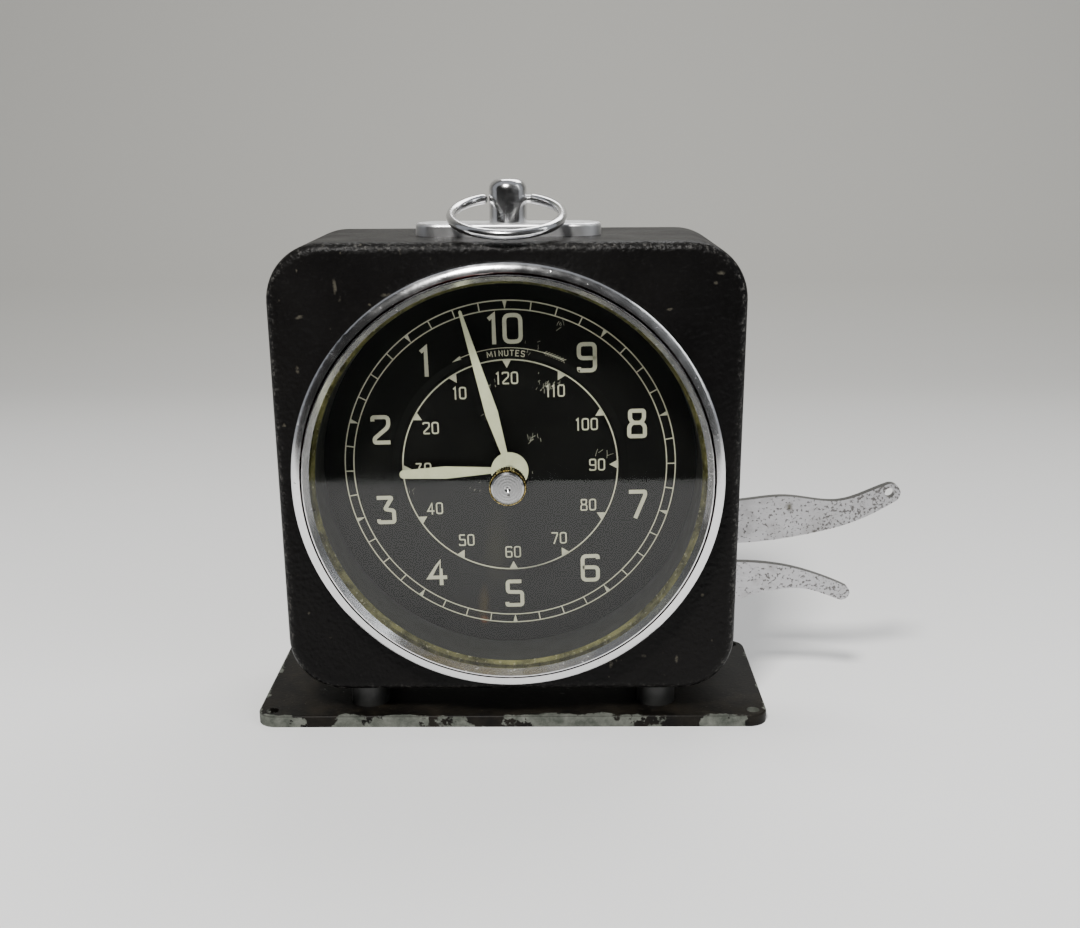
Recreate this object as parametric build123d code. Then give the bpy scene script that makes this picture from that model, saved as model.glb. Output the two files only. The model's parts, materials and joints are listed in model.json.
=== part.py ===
from build123d import *
import math
import os

# Mechanical interval timer: a square steel case on a flat base, with a countdown dial, two hand
# levers on the right side, and a hanging ring on top. Millimetres. +Z is up and the dial faces -Y.
# The origin is the centre of the base's underside.
#
# A place on the dial or in the movement is given as (x, z) from the dial's centre, seen from the
# front, and as a depth behind the case's front face. Depths in front of that face are negative.

# ---------------------------------------------------------------- driving dimensions

CASE_W = 114.3
CASE_H = 113.2
CASE_D = 46.5
CASE_CORNER_R = 13.9
CASE_EDGE_R = 2.5
CASE_WALL = 1.5
CASE_BOTTOM = 9.6

BASE_W = 133.35
BASE_D = 54.0
BASE_T = 3.1
BASE_CORNER_R = 5.0
BASE_EDGE_R = 0.5
BASE_HOLE_R = 1.7
BASE_HOLE_SPACING_X = 126.0
BASE_HOLE_SPACING_Y = 46.6
BASE_FRONT_OVERHANG = 1.4

RUN = 0.05          # radial running clearance of a shaft in its hole
FIT = 0.02          # radial clearance of a piece fixed on its shaft

CASE_FRONT = BASE_FRONT_OVERHANG - BASE_D / 2
CASE_TOP = CASE_BOTTOM + CASE_H
DIAL_Z = CASE_BOTTOM + CASE_H / 2
MID_Y = CASE_FRONT + CASE_D / 2

# base spacers and their screws
SPACER_R = 5.0
SPACER_AT = [(x, y) for x in (-38, 38) for y in (-16, 11)]
BASE_SCREW_R = 1.9
NUT_T = 2.4

# front window
WINDOW_R = 50.25
BEZEL_R = 52.5
BEZEL_CREST_DEPTH = -7.0
BEZEL_CREST_R = 49.75
BEZEL_LIP_R = 48.3
BEZEL_BORE_R = 49.6
BEZEL_SKIRT_R = 50.2
BEZEL_SKIRT_DEPTH = 4.0
GLASS_DEPTH = -5.0
GLASS_T = 2.0
GLASS_R = 49.55
GLASS_HOLE_R = 2.4
GLASS_RING_BACK = -1.6
SIGHT_R = 47.3
SIGHT_WALL = 0.8
DIAL_DEPTH = 11.7
DIAL_T = 0.8
DIAL_R = 49.0
DIAL_STEP_R = 30.0
DIAL_INNER_R = 28.2
DIAL_RECESS = 0.5
DIAL_HOLE_R = 2.8

# hands and knob
LONG_HAND_LENGTH = 41.6
LONG_HAND_ANGLE = 16.3
SHORT_HAND_LENGTH = 27.9
SHORT_HAND_ANGLE = 92.5
HUB_R = 4.7
HAND_T = 0.5
LONG_HAND_DEPTH = 7.7
SHORT_HAND_DEPTH = 9.0
HAND_ARBOR_R = 1.5
PIPE_R = 2.3
KNOB_SKIRT_R = 4.5
KNOB_FACE_R = 3.95
KNOB_BACK = -5.5
KNOB_SKIRT_FRONT = -9.0
KNOB_FRONT = -10.0
KNOB_RIBS = 44

# movement
POST_R = 3.5
POST_AT = [(x, z) for x in (-44, 44) for z in (-44, 44)]
FRONT_PLATE = (18.0, 19.6)
BACK_PLATE = (36.0, 37.6)
FRONT_PLATE_HALF = 50.0
BACK_PLATE_OUTLINE = [(-40, 39), (39, 39), (39, -2), (24, -47), (-24, -47), (-48, -18), (-48, 8)]
PILLAR_AT = [(34, 35), (-36, 34), (17, -40), (-42, 4)]
PILLAR_R = 3.0
ARBOR_ENDS = (FRONT_PLATE[0] + 0.1, BACK_PLATE[1] - 0.1)
COVER = (45.0, 46.2)
COVER_GAP = 0.15

# going train: teeth and modules
BARREL_TEETH = 72
CENTRE_PINION_TEETH = 12
BARREL_MODULE = 0.7
CENTRE_TEETH = 80
THIRD_PINION_TEETH = 8
CENTRE_MODULE = 0.5
THIRD_TEETH = 80
ESCAPE_PINION_TEETH = 8
THIRD_MODULE = 0.4
ESCAPE_TEETH = 15
ESCAPE_R = 8.6

# motion work between dial and front plate: 12 to 36, then 10 to 40, is one turn in twelve
CANNON_TEETH = 12
MINUTE_TEETH = 36
CANNON_MODULE = 0.6
MINUTE_PINION_TEETH = 10
HOUR_TEETH = 40
HOUR_MODULE = CANNON_MODULE * (CANNON_TEETH + MINUTE_TEETH) / (MINUTE_PINION_TEETH + HOUR_TEETH)


def polar(radius, angle, centre=(0, 0)):
    """The point at a radius and an angle in degrees from a centre, anticlockwise from +x."""
    a = math.radians(angle)
    return (centre[0] + radius * math.cos(a), centre[1] + radius * math.sin(a))


BARREL_ANGLE = 225
BARREL_AT = polar(BARREL_MODULE * (BARREL_TEETH + CENTRE_PINION_TEETH) / 2, BARREL_ANGLE)
THIRD_ANGLE = 135
THIRD_AT = polar(CENTRE_MODULE * (CENTRE_TEETH + THIRD_PINION_TEETH) / 2, THIRD_ANGLE)
ESCAPE_ANGLE = 60
ESCAPE_AT = polar(THIRD_MODULE * (THIRD_TEETH + ESCAPE_PINION_TEETH) / 2, ESCAPE_ANGLE, THIRD_AT)
LEVER_LINE = -15
PALLET_AT = polar(11.4, LEVER_LINE, ESCAPE_AT)
BALANCE_AT = polar(14.0, LEVER_LINE, PALLET_AT)
BALANCE_R = 11.5
MINUTE_ANGLE = -60
MINUTE_AT = polar(CANNON_MODULE * (CANNON_TEETH + MINUTE_TEETH) / 2, MINUTE_ANGLE)

PIVOT_HOLES = [((0, 0), 1.2), (BARREL_AT, 2.2), (THIRD_AT, 0.8), (ESCAPE_AT, 0.7), (PALLET_AT, 0.6),
               (BALANCE_AT, 0.6)]

# hand levers
LEVER_DEPTH = (23.8, 26.2)
LEVER_SLOT_GAP = 0.4
START_PIVOT = (47, -18.3)
STOP_PIVOT = (47, -34.9)
LEVER_BOSS_R = 6.0
LEVER_STUD_R = 2.0
EYELET_AT = (99.9, -10.4)
EYELET_R = 1.3
LEVER_INNER_X = 52
START_SLOT = (-26.2, -12.0)
STOP_SLOT = (-41.9, -27.2)

# top fittings
TOP_PLATE_LENGTH = 46.0
TOP_PLATE_D = 13.0
TOP_PLATE_T = 3.0
PENDANT_R = 4.7
PENDANT_TOP = CASE_TOP + 13.4
PENDANT_SHANK_R = 2.5
BOW_PIVOT_Z = CASE_TOP + 8.5
BOW_R = 13.35
BOW_WIRE_R = 1.2
BOW_STUB_R = 1.0
BOW_STUB_X = 6.2
BOW_TILT = 15.6

# striking work behind the back plate
BELL_AT = (15, 9)
BELL_R = 20.0
BELL_DEPTH = (39.0, 44.2)
HAMMER_PIVOT = (35, -24)
HAMMER_HEAD_AT = (15, -15.0)
HAMMER_HEAD_R = 3.2
RATCHET_TEETH = 24
RATCHET_R = 9.0
CLICK_PIVOT = (BARREL_AT[0] + 15, BARREL_AT[1] - 5)
KEY_T = 2.0
KEY_LOBE_X = 7.4
KEY_LOBE_R = 5.6

os.makedirs("parts", exist_ok=True)


# ---------------------------------------------------------------- helpers

def front_view(depth):
    """Plane across the timer at a depth, with x to the right, y up and its normal to the front."""
    return Plane(origin=(0, CASE_FRONT + depth, DIAL_Z), x_dir=(1, 0, 0), z_dir=(0, -1, 0))


def slab(sketch, front, back):
    """Extrude a front-view sketch between two depths."""
    return extrude(front_view(back) * sketch, back - front)


def rod(radius, front, back, at=(0, 0)):
    return slab(Pos(*at) * Circle(radius), front, back)


def tube(outer, inner, front, back, at=(0, 0)):
    return slab(Pos(*at) * (Circle(outer) - Circle(inner)), front, back)


def turned(outline, at=(0, 0)):
    """Turn a closed outline of (radius, depth) points, or of edges, about an axis along Y."""
    if isinstance(outline[0], tuple):
        outline = [Polyline(*outline, close=True)]
    solid = revolve(make_face(outline), Axis.Y, 360)
    return Pos(at[0], CASE_FRONT, DIAL_Z + at[1]) * solid


def upright(radius, bottom, top, x, y):
    """Cylinder along Z between two heights."""
    return Pos(x, y, bottom) * Cylinder(radius, top - bottom, align=(Align.CENTER, Align.CENTER, Align.MIN))


def hexagon_nut(flats, bore, bottom, top, x, y):
    nut = RegularPolygon(flats / 2, 6, major_radius=False) - Circle(bore)
    return Pos(x, y, bottom) * extrude(nut, top - bottom)


def gear_face(teeth, module, tooth_angle, bore):
    """Wheel outline with slim tapered teeth, one of them centred on tooth_angle."""
    pitch_r = teeth * module / 2
    root_r = pitch_r - 1.15 * module
    tip_r = pitch_r + 0.85 * module
    pitch = 360 / teeth
    points = []
    for i in range(teeth):
        a = tooth_angle + i * pitch
        points += [polar(root_r, a - 0.22 * pitch), polar(tip_r, a - 0.08 * pitch)]
        points += [polar(tip_r, a + 0.08 * pitch), polar(root_r, a + 0.22 * pitch)]
    return make_face(Polyline(*points, close=True)) - Circle(bore)


def crossings(inner, outer, count, width):
    """The openings between a wheel's spokes."""
    ring = Circle(outer) - Circle(inner)
    for i in range(count):
        ring -= Rot(0, 0, i * 360 / count) * Pos(outer / 2, 0) * Rectangle(outer + 2, width)
    return ring


def spiral_strip(inner, outer, turns, thickness):
    """Flat spiral ribbon, as a face."""
    steps = int(turns * 12)
    ends = []
    sides = []
    for offset in (0, thickness):
        points = []
        for i in range(steps + 1):
            t = i / steps
            points.append(polar(inner + (outer - inner) * t + offset, 360 * turns * t))
        sides.append(Spline(*points))
        ends.append((points[0], points[-1]))
    caps = [Line(ends[0][0], ends[1][0]), Line(ends[0][1], ends[1][1])]
    return make_face(sides + caps)


def screw(radius, head_r, head_t, front, back, at, head_at_back=True):
    """Slotted cheese-head screw along Y."""
    body = rod(radius, front, back, at)
    head_front = back if head_at_back else front - head_t
    head = rod(head_r, head_front, head_front + head_t, at)
    slot_front = back + 0.55 * head_t if head_at_back else head_front
    slot = slab(Pos(*at) * Rot(0, 0, 35) * Rectangle(3 * head_r, 0.8), slot_front, slot_front + 0.45 * head_t)
    return body + head - slot


def save(solid, name):
    """Write one node. A list of solids becomes one group of separate solids."""
    if isinstance(solid, list):
        solid = Compound(children=[piece.solid() for piece in solid])
    solid.label = name
    export_step(solid, "parts/" + name + ".step")


# ---------------------------------------------------------------- base

def base_plate():
    plate = extrude(RectangleRounded(BASE_W, BASE_D, BASE_CORNER_R), BASE_T)
    plate = fillet(plate.edges().group_by(Axis.Z)[-1], BASE_EDGE_R)
    for x in (-BASE_HOLE_SPACING_X / 2, BASE_HOLE_SPACING_X / 2):
        for y in (-BASE_HOLE_SPACING_Y / 2, BASE_HOLE_SPACING_Y / 2):
            plate -= upright(BASE_HOLE_R, -1, BASE_T + 1, x, y)
    for x, y in SPACER_AT:
        plate -= upright(BASE_SCREW_R + RUN, -1, BASE_T + 1, x, y)
        plate -= Pos(x, y, 0.9) * Cone(3.8, BASE_SCREW_R, 1.8)
    return plate


def base_spacers():
    return [upright(SPACER_R, BASE_T, CASE_BOTTOM, x, y) - upright(BASE_SCREW_R + RUN, 0, 20, x, y)
            for x, y in SPACER_AT]


def base_screws():
    screws = []
    for x, y in SPACER_AT:
        shank = upright(BASE_SCREW_R, 0.1, CASE_BOTTOM + CASE_WALL + NUT_T + 0.8, x, y)
        head = Pos(x, y, 0.9) * Cone(3.6, BASE_SCREW_R, 1.6)
        slot = Pos(x, y, 0.3) * Box(8, 0.9, 0.8)
        screws.append(shank + head - slot)
    return screws


def base_nuts():
    floor = CASE_BOTTOM + CASE_WALL
    return [hexagon_nut(6.6, BASE_SCREW_R + FIT, floor, floor + NUT_T, x, y) for x, y in SPACER_AT]


# ---------------------------------------------------------------- case

def case_shell():
    outline = RectangleRounded(CASE_W, CASE_H, CASE_CORNER_R)
    inner = RectangleRounded(CASE_W - 2 * CASE_WALL, CASE_H - 2 * CASE_WALL, CASE_CORNER_R - CASE_WALL)
    shell = slab(outline, 0, CASE_D)
    shell = fillet(shell.edges().group_by(Axis.Y)[0], CASE_EDGE_R)
    shell -= slab(inner, CASE_WALL, CASE_D + 1)
    shell -= rod(WINDOW_R, -1, CASE_WALL + 1)
    wall_x = CASE_W / 2 - CASE_WALL / 2
    for low, high in (START_SLOT, STOP_SLOT):
        slot = Pos(wall_x, (low + high) / 2) * Rectangle(3 * CASE_WALL, high - low)
        shell -= slab(slot, LEVER_DEPTH[0] - LEVER_SLOT_GAP, LEVER_DEPTH[1] + LEVER_SLOT_GAP)
    for x, y in SPACER_AT:
        shell -= upright(BASE_SCREW_R + RUN, CASE_BOTTOM - 1, CASE_BOTTOM + 2 * CASE_WALL, x, y)
    shell -= upright(PENDANT_SHANK_R + RUN, CASE_TOP - 5, CASE_TOP + 1, 0, MID_Y)
    for x in (-16, 16):
        shell -= upright(1.5 + RUN, CASE_TOP - 5, CASE_TOP + 1, x, MID_Y)
    return shell


def rear_cover():
    trim = 2 * (CASE_WALL + COVER_GAP)
    plate = RectangleRounded(CASE_W - trim, CASE_H - trim, CASE_CORNER_R - CASE_WALL - COVER_GAP)
    plate -= Pos(*BARREL_AT) * Circle(4.2)
    for at in POST_AT:
        plate -= Pos(*at) * Circle(1.7)
    for i in range(-3, 4):
        plate -= Pos(BELL_AT[0] + 5.5 * i, BELL_AT[1]) * SlotOverall(24 - 3 * abs(i), 2.2, rotation=90)
    return slab(plate, *COVER)


def rear_cover_screws():
    return [screw(1.4, 3.2, 1.6, COVER[1] - 8, COVER[1], at) for at in POST_AT]


def front_posts():
    return [rod(POST_R, CASE_WALL, FRONT_PLATE[0], at) for at in POST_AT]


def rear_posts():
    posts = []
    for at in POST_AT:
        bore = rod(1.4 + RUN, COVER[0] - 9, COVER[0] + 1, at)
        posts.append(rod(POST_R, FRONT_PLATE[1], COVER[0], at) - bore)
    return posts


# ---------------------------------------------------------------- window and dial

def bezel():
    crest = (BEZEL_CREST_R, BEZEL_CREST_DEPTH)
    groove = (BEZEL_CREST_R + 0.35, -6.15)
    face_in = (BEZEL_CREST_R + 0.6, -6.45)
    face_out = (BEZEL_R, -5.4)
    outer = ThreePointArc(face_out, (BEZEL_R - 0.99, -6.1), face_in)
    rest = Polyline(face_in, groove, crest, (BEZEL_CREST_R - 0.25, -7.0),
                    (BEZEL_LIP_R, GLASS_DEPTH), (BEZEL_BORE_R, GLASS_DEPTH),
                    (BEZEL_BORE_R, BEZEL_SKIRT_DEPTH), (BEZEL_SKIRT_R, BEZEL_SKIRT_DEPTH),
                    (BEZEL_SKIRT_R, 0), (BEZEL_R, 0), face_out)
    return turned([outer, rest])


def bezel_lock_ring():
    return tube(BEZEL_SKIRT_R + 3.2, BEZEL_SKIRT_R + FIT, CASE_WALL, CASE_WALL + 2)


def glass():
    return tube(GLASS_R, GLASS_HOLE_R, GLASS_DEPTH, GLASS_DEPTH + GLASS_T)


def glass_ring():
    front = GLASS_DEPTH + GLASS_T
    return turned([(GLASS_R, front), (48.1, front), (SIGHT_R + 0.1, GLASS_RING_BACK), (GLASS_R, GLASS_RING_BACK)])


def sight_ring():
    outer = SIGHT_R + SIGHT_WALL
    flange_back = GLASS_RING_BACK + 1
    return turned([(SIGHT_R, GLASS_RING_BACK), (GLASS_R, GLASS_RING_BACK), (GLASS_R, flange_back),
                   (outer, flange_back), (outer, DIAL_DEPTH), (SIGHT_R, DIAL_DEPTH)])


def dial():
    low = DIAL_DEPTH + DIAL_RECESS
    back = DIAL_DEPTH + DIAL_T
    return turned([(DIAL_HOLE_R, low), (DIAL_INNER_R, low), (DIAL_STEP_R, DIAL_DEPTH), (DIAL_R, DIAL_DEPTH),
                   (DIAL_R, back), (DIAL_STEP_R + 0.2, back), (DIAL_INNER_R + 0.2, back + DIAL_RECESS),
                   (DIAL_HOLE_R, back + DIAL_RECESS)])


def dial_feet():
    return [rod(2.0, DIAL_DEPTH + DIAL_T, FRONT_PLATE[0], polar(42, a)) for a in (20, 160, 270)]


# ---------------------------------------------------------------- hands and knob

def long_hand():
    """Tapered hand with a round hub, widest a third of the way out."""
    tail_w, wide_w, tip_w = 1.4, 3.2, 0.7
    blade = Polyline((-tail_w / 2, 3.5), (-wide_w / 2, 15.3), (-tip_w / 2, LONG_HAND_LENGTH - 0.3),
                     (0, LONG_HAND_LENGTH), (tip_w / 2, LONG_HAND_LENGTH - 0.3), (wide_w / 2, 15.3),
                     (tail_w / 2, 3.5), close=True)
    hand = make_face(blade) + Circle(HUB_R) - Circle(HAND_ARBOR_R + FIT)
    return slab(Rot(0, 0, LONG_HAND_ANGLE) * hand, LONG_HAND_DEPTH, LONG_HAND_DEPTH + HAND_T)


def short_hand():
    """Baton hand with a rounded tip, on the hour pipe."""
    tail_w, wide_w, tip_w = 1.3, 3.1, 2.1
    end = SHORT_HAND_LENGTH - tip_w / 2
    blade = make_face(Polyline((-tail_w / 2, 3), (-wide_w / 2, 16.3), (-tip_w / 2, end), (tip_w / 2, end),
                               (wide_w / 2, 16.3), (tail_w / 2, 3), close=True))
    hand = blade + Pos(0, end) * Circle(tip_w / 2) + Circle(3.6) - Circle(PIPE_R + FIT)
    return slab(Rot(0, 0, SHORT_HAND_ANGLE) * hand, SHORT_HAND_DEPTH, SHORT_HAND_DEPTH + HAND_T)


def hand_arbor():
    return rod(HAND_ARBOR_R, KNOB_FRONT + 1.5, FRONT_PLATE[0] - 0.4)


def setting_knob():
    ribs = []
    for i in range(KNOB_RIBS):
        a = i * 360 / KNOB_RIBS
        ribs += [polar(KNOB_SKIRT_R - 0.22, a), polar(KNOB_SKIRT_R, a + 180 / KNOB_RIBS)]
    skirt = slab(make_face(Polyline(*ribs, close=True)), KNOB_SKIRT_FRONT, KNOB_BACK)
    face = turned([(0, KNOB_SKIRT_FRONT), (KNOB_FACE_R + 0.3, KNOB_SKIRT_FRONT), (KNOB_FACE_R, KNOB_FRONT + 0.35),
                   (KNOB_FACE_R - 0.4, KNOB_FRONT), (0.8, KNOB_FRONT), (0, KNOB_FRONT + 0.5)])
    return skirt + face - rod(HAND_ARBOR_R + FIT, KNOB_FRONT + 1.4, 0)


def cannon_pinion():
    face = gear_face(CANNON_TEETH, CANNON_MODULE, MINUTE_ANGLE, HAND_ARBOR_R + FIT)
    return slab(face, 15.0, 16.8)


def clutch_washer():
    return tube(3.4, HAND_ARBOR_R + FIT, 17.0, 17.5)


def minute_stud():
    return rod(1.0, 13.5, FRONT_PLATE[0], MINUTE_AT)


def minute_pinion():
    tooth = MINUTE_ANGLE + 180 + 180 / MINUTE_PINION_TEETH
    leaves = gear_face(MINUTE_PINION_TEETH, HOUR_MODULE, tooth, 1.0 + RUN)
    return slab(Pos(*MINUTE_AT) * leaves, 13.3, 15.2) + tube(2.0, 1.0 + RUN, 15.2, 16.8, MINUTE_AT)


def minute_wheel():
    tooth = MINUTE_ANGLE + 180 + 180 / MINUTE_TEETH
    return slab(Pos(*MINUTE_AT) * gear_face(MINUTE_TEETH, CANNON_MODULE, tooth, 2.0 + FIT), 15.5, 16.3)


def hour_wheel():
    wheel = slab(gear_face(HOUR_TEETH, HOUR_MODULE, MINUTE_ANGLE, HAND_ARBOR_R + RUN), 13.4, 14.1)
    return wheel + tube(PIPE_R, HAND_ARBOR_R + RUN, SHORT_HAND_DEPTH - 0.4, 14.1)


# ---------------------------------------------------------------- movement frame

def front_plate():
    plate = RectangleRounded(2 * FRONT_PLATE_HALF, 2 * FRONT_PLATE_HALF, 7)
    for at, radius in PIVOT_HOLES:
        plate -= Pos(*at) * Circle(radius + RUN)
    return slab(plate, *FRONT_PLATE)


def back_plate():
    plate = make_face(Polyline(*BACK_PLATE_OUTLINE, close=True))
    for at, radius in PIVOT_HOLES:
        plate -= Pos(*at) * Circle(radius + RUN)
    for at in PILLAR_AT:
        plate -= Pos(*at) * Circle(1.2 + RUN)
    return slab(plate, *BACK_PLATE)


def pillars():
    return [rod(PILLAR_R, FRONT_PLATE[1], BACK_PLATE[0], at) - rod(1.2 + RUN, 29, 40, at) for at in PILLAR_AT]


def pillar_screws():
    return [screw(1.2, 2.4, 1.3, BACK_PLATE[1] - 7, BACK_PLATE[1], at) for at in PILLAR_AT]


# ---------------------------------------------------------------- going train

def barrel():
    teeth = gear_face(BARREL_TEETH, BARREL_MODULE, 45 + 180 / BARREL_TEETH, 2.2 + RUN)
    drum = slab(Pos(*BARREL_AT) * teeth, 20.8, 22.0)
    return drum + tube(23.4, 22.2, 22.0, 28.8, BARREL_AT)


def barrel_cover():
    return tube(23.4, 2.2 + RUN, 28.8, 29.5, BARREL_AT)


def mainspring():
    ribbon = Pos(*BARREL_AT) * spiral_strip(7.0, 20.6, 7, 0.45)
    return slab(ribbon, 22.6, 28.2)


def barrel_arbor():
    return rod(2.2, ARBOR_ENDS[0], COVER[1] + 4, BARREL_AT) + rod(5.0, 22.2, 28.6, BARREL_AT)


def centre_pinion():
    leaves = slab(gear_face(CENTRE_PINION_TEETH, BARREL_MODULE, BARREL_ANGLE, 0.5), 20.4, 22.4)
    return leaves + rod(1.2, ARBOR_ENDS[0] - 0.3, ARBOR_ENDS[1]) + rod(3.0, 22.4, 29.0)


def centre_wheel():
    face = gear_face(CENTRE_TEETH, CENTRE_MODULE, THIRD_ANGLE, 1.2 + FIT) - crossings(5, 17, 5, 2.6)
    return slab(face, 30.0, 31.0)


def third_pinion():
    tooth = THIRD_ANGLE + 180 + 180 / THIRD_PINION_TEETH
    leaves = slab(Pos(*THIRD_AT) * gear_face(THIRD_PINION_TEETH, CENTRE_MODULE, tooth, 0.4), 29.6, 31.6)
    return leaves + rod(0.8, *ARBOR_ENDS, THIRD_AT)


def third_wheel():
    face = gear_face(THIRD_TEETH, THIRD_MODULE, ESCAPE_ANGLE, 0.8 + FIT) - crossings(4, 13.4, 4, 2.2)
    return slab(Pos(*THIRD_AT) * face, 32.6, 33.4)


def escape_pinion():
    tooth = ESCAPE_ANGLE + 180 + 180 / ESCAPE_PINION_TEETH
    leaves = slab(Pos(*ESCAPE_AT) * gear_face(ESCAPE_PINION_TEETH, THIRD_MODULE, tooth, 0.3), 32.2, 33.8)
    return leaves + rod(0.7, *ARBOR_ENDS, ESCAPE_AT)


def escape_wheel():
    points = []
    for i in range(ESCAPE_TEETH):
        a = i * 360 / ESCAPE_TEETH
        points += [polar(ESCAPE_R - 2.3, a - 9), polar(ESCAPE_R - 0.2, a - 2), polar(ESCAPE_R, a)]
        points += [polar(ESCAPE_R - 2.3, a + 3)]
    face = make_face(Polyline(*points, close=True)) - Circle(0.7 + FIT) - crossings(2.4, 5.2, 4, 1.4)
    return slab(Pos(*ESCAPE_AT) * face, 22.0, 22.8)


def pallet_lever():
    """Anchor with two stones and a fork towards the balance, on its own arbor."""
    local = Pos(*PALLET_AT) * Rot(0, 0, LEVER_LINE)
    shape = Circle(1.6) + Pos(4.6, 0) * Rectangle(9.2, 1.3)
    for side in (-1, 1):
        arm = make_face(Polyline((0.6, 1.2 * side), (-1.2, 1.0 * side), (-3.2, 6.6 * side), (-1.6, 6.9 * side),
                                 close=True))
        stone = Pos(-3.2, 6.7 * side) * Rot(0, 0, 25 * side) * Rectangle(2.2, 0.9)
        horn = Pos(9.6, 1.15 * side) * Rot(0, 0, 18 * side) * Rectangle(2.6, 0.7)
        shape += arm + stone + horn
    shape += Pos(9.2, 0) * Rectangle(0.9, 2.6)
    lever = slab(local * shape, 22.0, 22.9)
    return lever + rod(0.6, *ARBOR_ENDS, PALLET_AT)


def balance_wheel():
    rim = Circle(BALANCE_R) - Circle(BALANCE_R - 1.4) + Rectangle(2 * BALANCE_R - 1.6, 1.6) + Circle(1.8)
    wheel = slab(Pos(*BALANCE_AT) * rim, 26.0, 27.4)
    roller = rod(2.2, 22.2, 24.6, BALANCE_AT)
    return wheel + rod(0.6, *ARBOR_ENDS, BALANCE_AT) + roller


def hairspring():
    ribbon = Pos(*BALANCE_AT) * spiral_strip(0.62, 6.4, 8, 0.16)
    return slab(ribbon, 28.6, 29.4)


# ---------------------------------------------------------------- hand levers

def lever_plate(face, pivot, tail):
    """Lever blade with its pivot boss and a short tail inside the case."""
    face += Pos(*pivot) * Circle(LEVER_BOSS_R)
    face += make_face(Polyline((pivot[0], pivot[1] - 4.5), (pivot[0], pivot[1] + 4.5), *tail, close=True))
    face -= Pos(*pivot) * Circle(LEVER_STUD_R + RUN)
    return slab(face, *LEVER_DEPTH)


def start_lever():
    """Long curved thumb lever with an eyelet in its tip."""
    top = Spline((60.5, -12.4), (73, -11.3), (87, -12.5), (99.2, -8.1), tangents=[(1, 0.1), (1, 0.35)])
    tip = ThreePointArc((99.2, -8.1), (102.6, -9.7), (101.7, -12.6))
    bottom = Spline((101.7, -12.6), (92.8, -17.5), (77, -22.0), (60.5, -24.1), tangents=[(-1, -0.62), (-1, -0.05)])
    root = Polyline((60.5, -24.1), (LEVER_INNER_X, -24.3), (LEVER_INNER_X, -12.9), (60.5, -12.4))
    face = make_face([top, tip, bottom, root]) - Pos(*EYELET_AT) * Circle(EYELET_R)
    return lever_plate(face, START_PIVOT, [(36, -11), (33.5, -15)])


def stop_lever():
    """Shorter lever below, curved down to a round tip."""
    top = Spline((60.5, -29.5), (73.7, -30.8), (83.7, -33.8), (90.2, -36.6), tangents=[(1, -0.02), (1, -0.5)])
    tip = ThreePointArc((90.2, -36.6), (91.0, -38.9), (88.4, -40.2))
    bottom = Spline((88.4, -40.2), (78.1, -37.0), (70.7, -37.4), (60.5, -40.4), tangents=[(-1, 0.35), (-1, -0.42)])
    root = Polyline((60.5, -40.4), (LEVER_INNER_X, -40.6), (LEVER_INNER_X, -29.3), (60.5, -29.5))
    face = make_face([top, tip, bottom, root])
    return lever_plate(face, STOP_PIVOT, [(36, -37), (37, -41)])


def lever_studs():
    studs = []
    for pivot in (START_PIVOT, STOP_PIVOT):
        studs.append(rod(LEVER_STUD_R, FRONT_PLATE[1], 30.5, pivot) + rod(3.4, 30.5, 31.5, pivot)
                     + rod(3.4, FRONT_PLATE[1], LEVER_DEPTH[0] - 0.2, pivot))
    return studs


def lever_springs():
    """Return coils round the lever studs."""
    wire_r, coil_r, pitch, turns = 0.3, 2.9, 0.95, 3
    springs = []
    for pivot in (START_PIVOT, STOP_PIVOT):
        path = Helix(pitch, pitch * turns, coil_r)
        start = Plane(origin=path @ 0, z_dir=path % 0)
        coil = sweep(start * Circle(wire_r), path, is_frenet=True)
        springs.append(Plane(origin=(pivot[0], CASE_FRONT + 27.0, DIAL_Z + pivot[1]), z_dir=(0, 1, 0)) * coil)
    return springs


# ---------------------------------------------------------------- top fittings

def top_plate():
    outline = SlotOverall(TOP_PLATE_LENGTH, TOP_PLATE_D)
    plate = Pos(0, MID_Y, CASE_TOP) * extrude(outline, TOP_PLATE_T)
    plate = fillet(plate.edges().group_by(Axis.Z)[-1], 0.8)
    for x in (-16, 16):
        plate += upright(1.5, CASE_TOP - 7, CASE_TOP, x, MID_Y)
    return plate - upright(PENDANT_SHANK_R + RUN, CASE_TOP - 1, CASE_TOP + 5, 0, MID_Y)


def pendant():
    """Domed post with a blind cross hole for the ring's ends and a shank through the plate."""
    bottom = CASE_TOP + TOP_PLATE_T
    post = upright(PENDANT_R, bottom, PENDANT_TOP, 0, MID_Y)
    post = fillet(post.edges().group_by(Axis.Z)[-1], 2.6)
    post += upright(PENDANT_SHANK_R, CASE_TOP - 7, bottom, 0, MID_Y)
    for side in (-1, 1):
        hole = Rot(0, 90 * side, 0) * Cylinder(BOW_STUB_R + RUN, 10, align=(Align.CENTER, Align.CENTER, Align.MIN))
        post -= Pos(2.0 * side, MID_Y, BOW_PIVOT_Z) * hole
    return post


def top_nuts():
    ceiling = CASE_TOP - CASE_WALL
    nuts = [hexagon_nut(5.6, 1.5 + FIT, ceiling - NUT_T, ceiling, x, MID_Y) for x in (-16, 16)]
    return nuts + [hexagon_nut(8.0, PENDANT_SHANK_R + FIT, ceiling - NUT_T, ceiling, 0, MID_Y)]


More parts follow.
